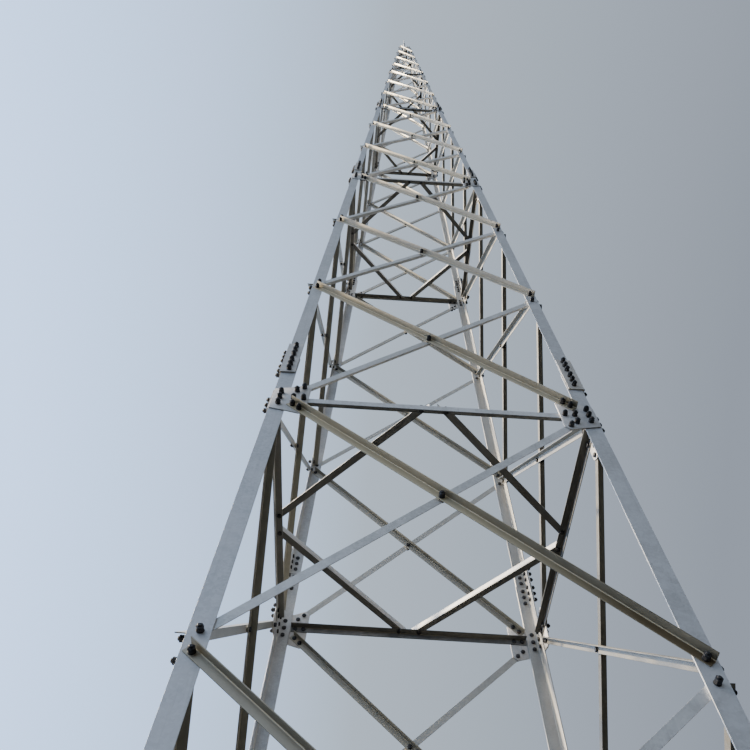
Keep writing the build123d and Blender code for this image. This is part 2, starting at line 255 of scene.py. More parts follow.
class Shader:
    """The nodes of a material or of the backdrop."""

    def __init__(self, owner):
        owner.use_nodes = True
        self.tree = owner.node_tree
        self.tree.nodes.clear()

    def node(self, kind, settings=None, inputs=None, output=0):
        """Adds a node: its settings first, then the values or links of its sockets."""
        made = self.tree.nodes.new(kind)
        for key, value in (settings or {}).items():
            if key == "stops":
                self.set_stops(made.color_ramp.elements, *value)
            else:
                setattr(made, key, value)
        for key, value in (inputs or {}).items():
            if isinstance(value, Value):
                self.tree.links.new(value.socket, made.inputs[key])
            else:
                made.inputs[key].default_value = value
        return Value(self, made.outputs[output]) if made.outputs else None

    def set_stops(self, elements, first, middle, last):
        """Sets a ramp's colours at its start, middle and end."""
        elements[0].color = first
        elements[1].color = last
        elements.new(0.5).color = middle

    def mix(self, factor, first, second, blend="MIX"):
        """One colour laid over another."""
        settings = {"data_type": "RGBA", "blend_type": blend}
        return self.node("ShaderNodeMix", settings, {0: factor, 6: first, 7: second}, 2)

    def axis(self, point, name):
        """One coordinate of a point or direction."""
        return self.node("ShaderNodeSeparateXYZ", {}, {0: point}, name)


class Finish(Shader):
    """A material under construction."""

    def __init__(self, name):
        self.material = bpy.data.materials.new(name)
        super().__init__(self.material)

    def painted(self, name):
        """A number that the angles' meshes hold at each point."""
        return self.node("ShaderNodeAttribute", {"attribute_name": name}, output="Fac")

    def place(self, stretch=(1, 1, 1)):
        """The point on the tower, stretched along its axes."""
        point = self.node("ShaderNodeTexCoord", output="Object")
        settings = {"operation": "MULTIPLY"}
        return self.node("ShaderNodeVectorMath", settings, {0: point, 1: stretch})

    def noise(self, scale, detail=3.0, stretch=(1, 1, 1)):
        """Soft noise from 0 to 1."""
        inputs = {"Vector": self.place(stretch), "Scale": scale, "Detail": detail, "Roughness": 0.55}
        return self.node("ShaderNodeTexNoise", {}, inputs)

    def facing_down(self, start, full):
        """Mask of the faces that look at the ground."""
        normal = self.node("ShaderNodeNewGeometry", output="Normal")
        return (self.axis(normal, "Z") * -1.0).ramp(start, full)

    def finish(self, colour, roughness, metallic, relief=None):
        """Ends the material with its surface, whose relief is a height, its depth and its strength."""
        inputs = {"Base Color": colour, "Roughness": roughness, "Metallic": metallic}
        if relief:
            height, depth, strength = relief
            bump = {"Strength": strength, "Distance": depth, "Height": height}
            inputs["Normal"] = self.node("ShaderNodeBump", {}, bump)
        surface = self.node("ShaderNodeBsdfPrincipled", {}, inputs)
        self.node("ShaderNodeOutputMaterial", {}, {"Surface": surface})
        return self.material


def rgba(colour, shade=1.0):
    """A setting's colour for a socket, lighter or darker by shade."""
    return tuple(channel * shade for channel in colour) + (1.0,)


def zinc(name, colour, stain, spangle, underside_shade_share, roughness):
    """Weathered hot-dip zinc: crystals, cloudy oxide, rain streaks, dull batches and grime, and painted shade
    and highlights.
    """
    # The stain colour also paints the shade on the faces that look down and over bars in the shade
    finish = Finish(name)
    batch_and_painted_light, grime, root = [finish.painted(key) for key in ("dullness", "grime", "root")]
    cell = {"Vector": finish.place(), "Scale": 1 / spangle}
    crystal = finish.node("ShaderNodeTexVoronoi", {}, cell, "Color")
    facet = finish.node("ShaderNodeSeparateColor", {}, {0: crystal})
    cloud = finish.noise(3.5, 5.0)
    patch = finish.noise(14.0, 4.0)
    streak = finish.noise(1.0, 4.0, (55, 55, 2.2))
    fine = finish.noise(420.0, 2.0)
    oxide = (cloud * 0.65 + patch * 0.35).ramp(0.40, 0.62)
    pimple = fine.ramp(0.68, 0.76)
    below = finish.facing_down(0.25, 0.8)
    tone = finish.mix(oxide, rgba(colour, 0.86), rgba(colour, 1.08))
    # Where each mark lies, how strongly it shows, and its shade of the zinc: bright and dark crystals,
    # rain streaks and pimples
    marks = (
        (facet, 0.45, 1.12),
        (1 - facet, 0.16, 0.6),
        (streak.ramp(0.52, 0.74), 0.3, 0.62),
        (pimple, 0.22, 0.5),
    )
    for mask, strength, shade in marks:
        tone = finish.mix(mask * strength, tone, rgba(colour, shade))
    # Dull batches tint the zinc brown, which also paints warm reflected light and shade on some bars
    dull_zinc_and_warm_light = rgba((colour[0] * 0.85, colour[1] * 0.72, colour[2] * 0.47))
    tone = finish.mix(batch_and_painted_light * 0.95, tone, dull_zinc_and_warm_light)
    # Grime and painted shade over whole bars, browner on dull batches
    earthy = rgba((stain[0] * 1.2, stain[1] * 0.92, stain[2] * 0.6), 0.6)
    dirt_and_shade = finish.mix(batch_and_painted_light, rgba(stain, 0.6), earthy)
    tone = finish.mix(grime * (patch * 0.4 + 0.8), tone, dirt_and_shade)
    # Painted shade on the faces that look down, more where there is grime and painted shade
    underside_shade = finish.mix(patch, rgba(stain, 0.8), rgba(stain, 1.3))
    tone = finish.mix(below * (grime * 0.6 + underside_shade_share), tone, underside_shade)
    # Painted highlight along the root fillet
    root_highlight_colour = (0.88, 0.78, 0.55, 1.0)
    tone = finish.mix(root * 0.85, tone, root_highlight_colour)
    gloss = facet * 0.05 + oxide * 0.10 + below * 0.12 + roughness
    metallic = 0.36 - oxide * 0.1 - below * 0.16 - batch_and_painted_light * 0.1
    height = pimple * 0.03 + fine * 0.04 + patch * 0.6
    return finish.finish(tone, gloss, metallic, (height, 0.0002, 0.35))


def dark_bolt(name, colour):
    """Dark bolt steel with dull wear and a trace of rust."""
    finish = Finish(name)
    each = finish.noise(6.0, 2.0).ramp(0.35, 0.65)
    grain = finish.noise(190.0, 4.0)
    wear = grain.ramp(0.5, 0.72)
    rust = finish.noise(31.0, 3.0).ramp(0.66, 0.78)
    tone = finish.mix(each, rgba(colour, 0.7), rgba(colour, 1.7))
    tone = finish.mix(wear * 0.35, tone, (0.16, 0.15, 0.14, 1.0))
    tone = finish.mix(rust * 0.5, tone, (0.12, 0.055, 0.025, 1.0))
    return finish.finish(tone, grain * 0.3 + 0.38, 0.7 - wear * 0.3, (grain, 0.0004, 0.4))


def turned_steel(name, colour):
    """Turned steel with fine grooves round it, dulled in patches."""
    finish = Finish(name)
    groove = finish.noise(1.0, 2.0, (6, 6, 1500))
    dull = finish.noise(9.0, 4.0)
    tone = finish.mix(dull, rgba(colour, 0.7), rgba(colour, 1.05))
    return finish.finish(tone, dull * 0.25 + 0.25, 0.9 - dull * 0.25, (groove, 0.0002, 0.3))


# Settings of a zinc finish's colour and of its stain, which also paints shade, the share of the painted shade
# on the faces that look down, and the roughness
ZINC_FINISHES = {
    "leg_steel": ("leg_zinc", "warm_stain", 1.0, 0.46),
    "brace_steel": ("brace_zinc", "warm_stain", 0.8, 0.36),
    "strut_steel": ("strut_zinc", "dark_stain", 0.92, 0.46),
    "plate_steel": ("plate_zinc", "warm_stain", 0.6, 0.46),
    "foot_steel": ("foot_zinc", "warm_stain", 0.5, 0.5),
    "rod_steel": ("rod_zinc", "warm_stain", 0.3, 0.46),
}


def finish_for(slot):
    """The finish of a material slot or of the bolts, made once."""
    name = f"{slot}_finish"
    colours = bpy.context.scene.tower_finish
    if name in bpy.data.materials:
        return bpy.data.materials[name]
    if slot == "bolt_steel":
        return dark_bolt(name, colours.bolt_steel)
    if slot == "needle_steel":
        return turned_steel(name, colours.needle_steel)
    colour, stain, underside_shade_share, roughness = ZINC_FINISHES[slot]
    pair = getattr(colours, colour), getattr(colours, stain)
    return zinc(name, *pair, colours.spangle, underside_shade_share, roughness)


def placed(name, data):
    """A new object in the scene."""
    made = bpy.data.objects.new(name, data)
    bpy.context.scene.collection.objects.link(made)
    return made


def finished(mesh, slot, *nodes, finish=None):
    """A piece of the tower that rides on it and stands for its nodes, named as its mesh."""
    mesh.polygons.foreach_set("use_smooth", [True] * len(mesh.polygons))
    mesh.set_sharp_from_angle(angle=math.radians(38))
    mesh.materials.append(finish_for(finish or slot))
    piece = placed(mesh.name, mesh)
    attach(piece, "root")
    if nodes:
        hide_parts(*nodes)
    return piece


def mesh_piece(name, vertices, faces, slot, *nodes, finish=None):
    """A finished piece from points and faces."""
    mesh = bpy.data.meshes.new(name)
    mesh.from_pydata([tuple(point) for point in vertices], [], faces)
    mesh.validate()
    return finished(mesh, slot, *nodes, finish=finish)


def whole_node(name):
    """A node's mesh with its corners joined and its flat faces whole."""
    shape = bmesh.new()
    shape.from_mesh(frame["nodes"][name].data)
    bmesh.ops.remove_doubles(shape, verts=shape.verts, dist=0.00002)
    bmesh.ops.dissolve_limit(shape, angle_limit=math.radians(0.4), verts=shape.verts, edges=shape.edges)
    return shape


def islands(shape):
    """The separate solids of a node's shape, as lists of faces."""
    left = set(shape.faces)
    groups = []
    for start in shape.faces:
        if start not in left:
            continue
        left.discard(start)
        group, queue = [], [start]
        while queue:
            face = queue.pop()
            group.append(face)
            for edge in face.edges:
                for other in edge.link_faces:
                    if other in left:
                        left.discard(other)
                        queue.append(other)
        groups.append(group)
    return groups


def angle_end(face):
    """The corners of an angle's end, from the heel round the first toe, or None for another face."""
    largest_end, out_of_square = 0.003, 0.1
    points = [loop.vert.co.copy() for loop in face.loops]
    if len(points) != 6 or face.calc_area() > largest_end:
        return None
    turns = []
    for index in range(6):
        before, here, after = points[index - 1], points[index], points[(index + 1) % 6]
        arriving, leaving = (here - before).normalized(), (after - here).normalized()
        if abs(arriving.dot(leaving)) > out_of_square:
            return None
        turns.append(arriving.cross(leaving).dot(face.normal))
    heel = (turns.index(min(turns)) + 3) % 6
    return points[heel:] + points[:heel] if min(turns) < 0 else None


# Draws how far the batches of zinc differ
BATCHES = random.Random(7)


class Bar:
    """A rolled angle between two ends, each given by six corners from the heel round the first toe.

    Its dullness, from 0 to 1, is that of its zinc and also paints warm light and shade; its painted root
    highlight is from 0 to 1 too. Its grime and painted shade, at top and foot, is below 0 where the painted
    shade is lessened.
    """

    def __init__(self, first, last):
        # The last end's toes come in the order of the first one's
        alike = 0.9
        if (first[1] - first[0]).normalized().dot((last[1] - last[0]).normalized()) < alike:
            last = [last[0]] + last[:0:-1]
        self.ends = (first, last)
        self.axis = (last[0] - first[0]).normalized()
        self.dullness = BATCHES.uniform(0, 0.3)
        self.grime = (0.0, 0.0)
        self.painted_highlight = 0.2
        self.widths = ((first[1] - first[0]).length, (first[5] - first[0]).length)
        self.walls = ((first[2] - first[1]).length, (first[4] - first[5]).length)

    def flange(self, index):
        """Direction of a flange from the heel."""
        return (self.ends[0][5 if index else 1] - self.ends[0][0]).normalized()

    def outward(self, index):
        """Direction away from the inside of the angle, across a flange."""
        return -self.flange(1 - index)

    def corner(self, end, first, second):
        """Point of an end at distances along its two flanges."""
        points = self.ends[end]
        heel = points[0]
        return heel + (points[1] - heel).normalized() * first + (points[5] - heel).normalized() * second

    def point(self, end, distance, index, across):
        """Point within a flange's thickness, at distances from an end and from the heel."""
        depth = self.walls[index] / 2
        place = (across, depth) if index == 0 else (depth, across)
        return self.corner(end, *place) + self.axis * (distance if end == 0 else -distance)

    def at_height(self, z, index, across):
        """Point within a flange's thickness, at a height and a distance from the heel."""
        start = self.point(0, 0, index, across)
        return start + self.axis * ((z - start.z) / self.axis.z)

    def lying_in(self, normal):
        """Index of the flange that lies square to a direction."""
        return 0 if abs(self.flange(1).dot(normal)) > abs(self.flange(0).dot(normal)) else 1


def bars(node):
    """The angles of a node, two of them in each crossed pair."""
    shape = whole_node(node)
    found = []
    for group in islands(shape):
        ends = [(points, face.normal.copy()) for face in group if (points := angle_end(face))]
        while ends:
            points, normal = ends.pop(0)
            # The other end lies straight ahead of this one
            aligned = [abs((other[0][0] - points[0]).normalized().dot(normal)) for other in ends]
            found.append(Bar(points, ends.pop(aligned.index(max(aligned)))[0]))
    shape.free()
    return found


def tube(base, count, rings, closed=False):
    """Faces along rings of points that start at a base, with end caps unless the rings close."""
    faces = []
    for index in range(rings if closed else rings - 1):
        here, there = base + index * count, base + (index + 1) % rings * count
        for side in range(count):
            following = (side + 1) % count
            faces.append((here + side, here + following, there + following, there + side))
    if not closed:
        last = base + (rings - 1) * count
        faces += [tuple(range(base, base + count))[::-1], tuple(range(last, last + count))]
    return faces


def arc(centre, radius, start, stop, steps):
    """Points of an arc between two angles in degrees."""
    turns = [math.radians(start + (stop - start) * step / steps) for step in range(steps + 1)]
    return [(centre[0] + radius * math.cos(turn), centre[1] + radius * math.sin(turn)) for turn in turns]


def rolled_outline(bar, steel):
    """Outline of a rolled angle with rounded toes and a root fillet, and a 1 for each point in the root."""
    (first, second), (wall, side) = bar.widths, bar.walls
    root = steel.root_radius * first
    toe, other_toe = steel.toe_radius * wall, steel.toe_radius * side
    soft, heel = steel.edge_radius, steel.edge_radius / 4
    outline = [(0, heel), (heel, 0), (first - soft, 0), (first, soft)]
    outline += arc((first - toe, wall - toe), toe, 0, 90, 3)
    outline += [(side + root + steel.root_line, wall)]
    near = len(outline)
    outline += arc((side + root, wall + root), root, 270, 180, 4)
    far = len(outline) - 1
    outline += [(side, wall + root + steel.root_line)]
    outline += arc((side - other_toe, second - other_toe), other_toe, 0, 90, 3)
    outline += [(soft, second), (0, second - soft)]
    return outline, [float(near < index < far) for index in range(len(outline))]


def rolled_angles(name, angles, slot, node, drawn=None):
    """One piece of rolled angles, with anything that is already drawn."""
    steel = bpy.context.scene.tower_steel
    vertices, faces = drawn or ([], [])
    dullness, grime, highlight_values = [[value] * len(vertices) for value in (0.5, 0.0, 0.0)]
    for bar in angles:
        outline, in_root = rolled_outline(bar, steel)
        ends = [[bar.corner(end, *place) for place in outline] for end in (0, 1)]
        lengths = max(1, round((ends[1][0] - ends[0][0]).length / steel.stretch))
        inward = bar.flange(0).cross(bar.flange(1)).dot(bar.axis) > 0
        skin = tube(len(vertices), len(outline), lengths + 1)
        faces += skin if inward else [face[::-1] for face in skin]
        for cut in range(lengths + 1):
            share = cut / lengths
            vertices += [near.lerp(far, share) for near, far in zip(*ends)]
            down = share if bar.axis.z < 0 else 1 - share
            grime += [bar.grime[0] + (bar.grime[1] - bar.grime[0]) * down ** 2] * len(outline)
            dullness += [bar.dullness] * len(outline)
            highlight_values += [flag * bar.painted_highlight for flag in in_root]
    piece = mesh_piece(name, vertices, faces, slot, node)
    # Dullness with painted warm light, grime with painted shade and the painted root highlight, for the zinc
    for key, values in (("dullness", dullness), ("grime", grime), ("root", highlight_values)):
        piece.data.attributes.new(key, "FLOAT", "POINT").data.foreach_set("value", values)


def softened(name, node, slot):
    """A node with its edges softened under the zinc."""
    shape = whole_node(node)
    sharp = 0.5
    edges = [edge for edge in shape.edges if len(edge.link_faces) == 2 and edge.calc_face_angle() > sharp]
    radius = bpy.context.scene.tower_steel.edge_radius
    bmesh.ops.bevel(shape, geom=edges, offset=radius, segments=2, profile=0.5, affect="EDGES")
    mesh = bpy.data.meshes.new(name)
    shape.to_mesh(mesh)
    shape.free()
    finished(mesh, slot, node)


def on_axis(height):
    """Point of the tower's axis at a height."""
    return Vector((TOWER_AXIS.x, TOWER_AXIS.y, height))


def facing(axis, way):
    """An axis, turned round where it points against a direction."""
    return axis if axis.dot(way) > 0 else -axis


def sideways(turn):
    """Level direction at a turn in degrees."""
    return Vector((math.cos(math.radians(turn)), math.sin(math.radians(turn)), 0))


def ring(radius, height, count):
    """Points of a level circle."""
    turns = [math.tau * index / count for index in range(count)]
    return [(radius * math.cos(turn), radius * math.sin(turn), height) for turn in turns]


def lofted(rings):
    """Closed shape through rings of the same count, capped at both ends."""
    return [point for level in rings for point in level], tube(0, len(rings[0]), len(rings))


def turned(levels, count):
    """Closed round shape through radii and heights."""
    return lofted([ring(radius, height, count) for radius, height in levels])


def hexagon_ring(flats, corner_height, flat_height):
    """Points of a hexagon, at its corners and in the middle of its flats by turns."""
    corners = ring(flats / 2 / math.cos(math.pi / 6), corner_height, 12)[::2]
    middles = ring(flats / 2, flat_height, 12)[1::2]
    return [point for pair in zip(corners, middles) for point in pair]


def hexagon(flats, height, corner_drop):
    """Hexagon head or nut with chamfered corners on both ends."""
    flat_drop, face = corner_drop * 0.25, flats * 0.475
    rings = [
        ring(face, 0, 12),
        hexagon_ring(flats, corner_drop, flat_drop),
        hexagon_ring(flats, height - corner_drop, height - flat_drop),
        ring(face, height, 12),
    ]
    return lofted(rings)


def thread(radius, length, turns, count):
    """Threaded end with grooves and a chamfered tip."""
    chamfer, groove, tip = radius * 0.25, radius * 0.88, radius * 0.72
    crest_end, groove_middle = 0.45, 0.75
    pitch = (length - chamfer) / turns
    levels = []
    for turn in range(turns):
        levels += [(radius, turn * pitch), (radius, (turn + crest_end) * pitch)]
        levels.append((groove, (turn + groove_middle) * pitch))
    levels += [(radius, turns * pitch), (tip, length)]
    return turned(levels, count)


def washer(outer, thickness, count):
    """Flat washer with a softened rim."""
    soft = thickness * 0.25
    levels = [(outer - soft, 0), (outer, soft), (outer, thickness - soft), (outer - soft, thickness)]
    return turned(levels, count)


class Gathered:
    """Small shapes gathered into one piece."""

    finish = None

    def __init__(self, seed=0, size=0.0):
        self.vertices = []
        self.faces = []
        self.draws = random.Random(seed)
        self.size = size

    def add(self, shape, origin, axis, turn=0.0):
        """Puts a shape at a point with its height along an axis."""
        place = Matrix.Translation(origin) @ axis.to_track_quat("Z", "Y").to_matrix().to_4x4()
        place = place @ Matrix.Rotation(turn, 4, "Z")
        base = len(self.vertices)
        self.vertices += [place @ Vector(point) for point in shape[0]]
        self.faces += [tuple(base + index for index in face) for face in shape[1]]

    def piece(self, name, slot):
        """The gathered shapes as one piece."""
        mesh_piece(name, self.vertices, self.faces, slot, finish=self.finish)


@functools.cache
def bolt_parts(size, thread_end):
    """Head, washer, nut, lock nut and thread end for a thread diameter."""
    flats = size * ACROSS_FLATS
    head, nut, lock = [hexagon(flats, size * high, size * drop) for high, drop in (HEAD, NUT, LOCK_NUT)]
    flat = washer(size * WASHER[0], size * WASHER[1], 16)
    return head, flat, nut, lock, thread(size / 2, thread_end, 3, 10)


class Fasteners(Gathered):
    """Bolts gathered into one piece. Their thread's size can change on the way."""

    finish = "bolt_steel"

    def __init__(self, seed, size):
        super().__init__(seed, size)
        self.places = bpy.context.scene.tower_bolts
        self.thread_end = self.places.thread_end

    def bolt(self, point, axis, seats=None):
        """A bolt through a stack, with its head at the low end of the axis."""
        above, below = seats or (reach(point, axis), reach(point, -axis))
        head = bolt_parts(self.size, self.thread_end)[0]
        self.add(head, point - axis * below, -axis, self.draws.random())
        self.nuts(point + axis * above, axis)

    def nuts(self, point, axis):
        """Washer, nut, lock nut and thread end on a face."""
        for shape, height in zip(bolt_parts(self.size, self.thread_end)[1:], NUT_STACK):
            self.add(shape, point + axis * (self.size * height), axis, self.draws.random())

    def row(self, bar, end, index, across, count, axis):
        """Bolts along a flange of a brace or strut, from its end."""
        for step in range(count):
            distance = self.places.end_distance + step * self.places.pitch
            self.bolt(bar.point(end, distance, index, across), axis)

    def bolt_legs(self, section, heights):
        """Bolts through both flanges of a section's legs at the given heights."""
        for leg in bars(f"section_{section}_legs"):
            for index in (0, 1):
                for height in heights:
                    across = leg.widths[index] / 2 + self.places.gauge_shift
                    self.bolt(leg.at_height(height, index, across), leg.outward(index))


class Beads(Gathered):
    """Weld beads of one size gathered into one piece."""

    def fillet(self, points, outs, closed=False):
        """A fillet along points, with an upright leg and an outward one at each of them."""
        sunk, uneven, hollow = 0.001, 0.12, 0.16
        base = len(self.vertices)
        for point, out in zip(points, outs):
            leg = self.size * self.draws.uniform(1 - uneven, 1 + uneven)
            self.vertices.append(point - (out + UP) * sunk)
            for turn in (0, 22, 45, 68, 90):
                angle = math.radians(turn)
                swell = leg * (1 - hollow * (1 - abs(math.cos(2 * angle))))
                rim = point + out * (swell * math.cos(angle)) + UP * (swell * math.sin(angle))
                self.vertices.append(rim)
        count = (len(self.vertices) - base) // len(points)
        self.faces += tube(base, count, len(points), closed)

    def straight(self, start, end, out):
        """A bead along a straight edge, rippled every few millimetres."""
        ripple = 0.0035
        steps = max(2, round((end - start).length / ripple))
        points = [start.lerp(end, step / steps) for step in range(steps + 1)]
        self.fillet(points, [out] * len(points))

    def round(self, centre, radius):
        """A level bead round a tube."""
        outs = [Vector(point) for point in ring(1.0, 0.0, 72)]
        self.fillet([centre + out * radius for out in outs], outs, True)


def solid_tree():
    """Search tree of all the tower's steel."""
    vertices, faces = [], []
    for node in frame["nodes"].values():
        base = len(vertices)
        vertices += [vertex.co.copy() for vertex in node.data.vertices]
        faces += [tuple(base + index for index in face.vertices) for face in node.data.polygons]
    return BVHTree.FromPolygons(vertices, faces)


STEEL = solid_tree()


def reach(point, axis):
    """Distance from a point in a stack of touching pieces, along an axis, to the stack's outside."""
    widest_gap, furthest, step = 0.0035, 0.2, 0.00001
    travelled, outside = 0.0, 0.0
    while True:
        hit, normal, face, distance = STEEL.ray_cast(point + axis * (travelled + step), axis, furthest)
        if hit is None:
            return outside
        travelled += distance + step
        if normal.dot(axis) > 0:
            outside = travelled
        elif travelled - outside > widest_gap:
            return outside


class TowerOperator(bpy.types.Operator):
    """One step of the tower's making."""

    bl_options = {"REGISTER", "UNDO"}


class TOWER_OT_leg_angles(TowerOperator):
    """Rolls the leg angles of every section, and the cover angles over their butts"""

    bl_idname = "tower.leg_angles"
    bl_label = "Leg angles"

    def execute(self, context):
        for section in SECTIONS:
            node = f"section_{section}_legs"
            legs = bars(node)
            for leg in legs:
                # The back right legs get painted shade as dullness and grime
                heel = leg.ends[0][0]
                if heel.y > TOWER_AXIS.y:
                    leg.dullness, *leg.grime = BACK_LEG_WEAR_AND_SHADE[heel.x > TOWER_AXIS.x]
            rolled_angles(f"leg_angles_{section}", legs, "leg_steel", node)
        for section in SECTIONS[1:]:
            node = f"section_{section}_leg_splices"
            rolled_angles(f"splice_angles_{section}", bars(node), "plate_steel", node)
        return {"FINISHED"}


def crossings(braces, normal, shift):
    """Middle, outward axis and gap of each crossing in a side."""
    found = []
    for pair in zip(braces[::2], braces[1::2]):
        # The flange of each brace that lies in the side, and a point of its bolt line
        flanges = [bar.lying_in(normal) for bar in pair]
        starts = [bar.point(0, 0, index, bar.widths[index] / 2 + shift) for bar, index in zip(pair, flanges)]
        axis = facing(pair[0].axis.cross(pair[1].axis).normalized(), normal)
        # Where each bolt line passes the other one
        passes = []
        for bar, start, other, other_start in zip(pair, starts, pair[::-1], starts[::-1]):
            across = other.axis.cross(axis)
            passes.append(start + bar.axis * ((other_start - start).dot(across) / bar.axis.dot(across)))
        walls = sum(bar.walls[index] for bar, index in zip(pair, flanges)) / 2
        found.append(((passes[0] + passes[1]) / 2, axis, abs((passes[1] - passes[0]).dot(axis)) - walls))
    return found


class TOWER_OT_side_bracing(TowerOperator):
    """Rolls the crossed braces of the four sides, with the spacers at their crossings"""

    bl_idname = "tower.side_bracing"
    bl_label = "Side bracing"

    def execute(self, context):
        shift = context.scene.tower_bolts.gauge_shift
        for side, outward in SIDES.items():
            for part in ("lower", "upper"):
                node = f"{side}_{part}_bracing"
                braces = bars(node)
                for bar in braces:
                    self.wear(bar, side, outward)
                spacers = Gathered()
                for point, axis, gap in crossings(braces, outward, shift):
                    self.spacer(spacers, point, axis, gap)
                drawn = (spacers.vertices, spacers.faces)
                rolled_angles(f"{side}_{part}_braces", braces, "brace_steel", node, drawn)
        return {"FINISHED"}

    def wear(self, bar, side, outward):
        """Gives a brace the wear and the painted light and shade of its side, layer and height, and on the
        front a painted root highlight.
        """
        # The outer braces fall to the right, as seen from outside
        outer = facing(bar.axis, UP).dot(UP.cross(outward)) < 0
        top = max(end[0].z for end in bar.ends)
        wear = BRACE_WEAR_AND_LIGHT[side][0 if outer else 1]
        if side == "front":
            # The front's braces get the painted highlight in their root
            bar.painted_highlight = 1.0
            if outer:
                wear = next((low for height, low in LOW_FRONT_WEAR_AND_SHADE if top < height), wear)
        bar.dullness = wear[0] + BATCHES.uniform(-0.1, 0.1)
        # Grime and painted shade, less of it higher up
        bar.grime = [grime - LESS_GRIME_AND_SHADE_PER_METRE * top for grime in wear[1:]]

    def spacer(self, spacers, point, axis, gap):
        """A round spacer that fills the gap between two crossed braces."""
        radius, bite = 0.015, 0.0005
        spacers.add(washer(radius, gap + bite * 2, 24), point - axis * (gap / 2 + bite), axis)


class TOWER_OT_level_struts(TowerOperator):
    """Rolls the level struts and the diamonds of plan bracing"""

    bl_idname = "tower.level_struts"
    bl_label = "Level struts"

    def execute(self, context):
        nodes = {f"strut_angles_{level}": f"level_{level}_struts" for level in SECTIONS}
        nodes.update({f"plan_angles_{level}": f"level_{level}_plan_bracing" for level in SECTIONS})
        nodes["top_strut_angles"] = "top_struts"
        nodes["rod_cradle_angles"] = "rod_cradle"
        for name, node in nodes.items():
            angles = bars(node)
            for bar in angles:
                away = (bar.ends[0][0] + bar.ends[1][0]) / 2 - TOWER_AXIS
                shaded = away.x + away.y > abs(away.x - away.y) / 2
                # Struts in the shade get painted shade as grime
                if shaded and name.startswith("strut"):
                    bar.grime = SHADED_STRUT_PAINTED_SHADE
            rolled_angles(name, angles, "strut_steel", node)
        return {"FINISHED"}


class TOWER_OT_plates(TowerOperator):
    """Softens the edges of the gusset plates, feet and earthing lugs"""

    bl_idname = "tower.plates"
    bl_label = "Plates"

    def execute(self, context):
        for level in [f"level_{level}" for level in SECTIONS] + ["top"]:
            softened(f"{level}_gussets", f"{level}_gusset_plates", "plate_steel")
        for node in ("foot_plates", "foot_shoes", "foot_ribs", "earth_lugs"):
            softened(f"{node}_cut", node, "foot_steel")
        return {"FINISHED"}


class TOWER_OT_rod(TowerOperator):
    """Softens the edges of the lightning rod and its seat"""

    bl_idname = "tower.rod"
    bl_label = "Lightning rod"

    def execute(self, context):
        slots = {"rod_seat": "rod_steel", "rod_tube": "rod_steel", "rod_needle": "needle_steel"}
        for node, slot in slots.items():
            softened(f"{node}_finished", node, slot)
        return {"FINISHED"}


class TOWER_OT_brace_bolts(TowerOperator):
    """Bolts the braces to the legs and gusset plates, and to each other where they cross"""

    bl_idname = "tower.brace_bolts"
    bl_label = "Brace bolts"

    def execute(self, context):
        bolts = context.scene.tower_bolts
        for part, size in (("lower", bolts.leg_bolt), ("upper", bolts.small_bolt)):
            gathered = Fasteners(part, size)
            for side, outward in SIDES.items():
                braces = bars(f"{side}_{part}_bracing")
                for bar in braces:
                    self.bolt_ends(gathered, bar, outward, bolts.gauge_shift)
                for point, axis, gap in crossings(braces, outward, bolts.gauge_shift):
                    gathered.bolt(point, axis)
            gathered.piece(f"{part}_brace_bolts", "brace_steel")
        return {"FINISHED"}

    def bolt_ends(self, gathered, bar, outward, shift):
        """One bolt at each end of a brace, two where it lies on a wide gusset plate or shoe."""
        index = bar.lying_in(outward)
        axis = facing(bar.flange(1 - index), outward)
        for end in (0, 1):
            count = 2 if self.on_wide_plate(bar.ends[end][0].z) else 1
            gathered.row(bar, end, index, bar.widths[index] / 2 + shift, count, axis)

    def on_wide_plate(self, height):
        """Whether a height is within a wide gusset plate or a shoe."""
        margin = 0.2
        boxes = [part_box(f"level_{level}_struts") for level in WIDE_LEVELS] + [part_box("foot_shoes")]
        return any(low.z - margin < height < high.z + margin for low, high in boxes)


class TOWER_OT_joint_bolts(TowerOperator):
    """Bolts the gusset plates to the legs and struts, and the plan bracing to the struts"""

    bl_idname = "tower.joint_bolts"
    bl_label = "Joint bolts"

    def execute(self, context):
        bolts = context.scene.tower_bolts
        joints = [(level, f"level_{level}", f"level_{level}_plan_bracing") for level in SECTIONS]
        joints.append((SECTIONS[-1], "top", "rod_cradle"))
        for seed, (section, place, lying) in enumerate(joints, 1):
            wide = section in WIDE_LEVELS
            rows = (bolts.gusset_pitch, 0.0, -bolts.gusset_pitch) if wide else (0.0,)
            gathered = Fasteners(seed, bolts.leg_bolt if wide else bolts.small_bolt)
            low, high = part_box(f"{place}_struts")
            gathered.bolt_legs(section, [(low.z + high.z) / 2 + row for row in rows])
            self.bolt_struts(gathered, f"{place}_struts", 2 if wide else 1)
            self.bolt_plan(gathered, lying, bolts.plan_end)
            gathered.piece(f"{place}_joint_bolts", "plate_steel")
        return {"FINISHED"}

    def bolt_struts(self, gathered, node, count):
        """Bolts at the ends of the struts' upright flanges."""
        for strut in bars(node):
            index = 1 - strut.lying_in(UP)
            for end in (0, 1):
                gathered.row(strut, end, index, strut.widths[index] / 2, count, strut.outward(index))

    def bolt_plan(self, gathered, node, distance):
        """Upright bolts at the ends of the bars that lie on the struts."""
        for bar in bars(node):
            index = bar.lying_in(UP)
            for end in (0, 1):
                gathered.bolt(bar.point(end, distance, index, bar.widths[index] / 2), UP)


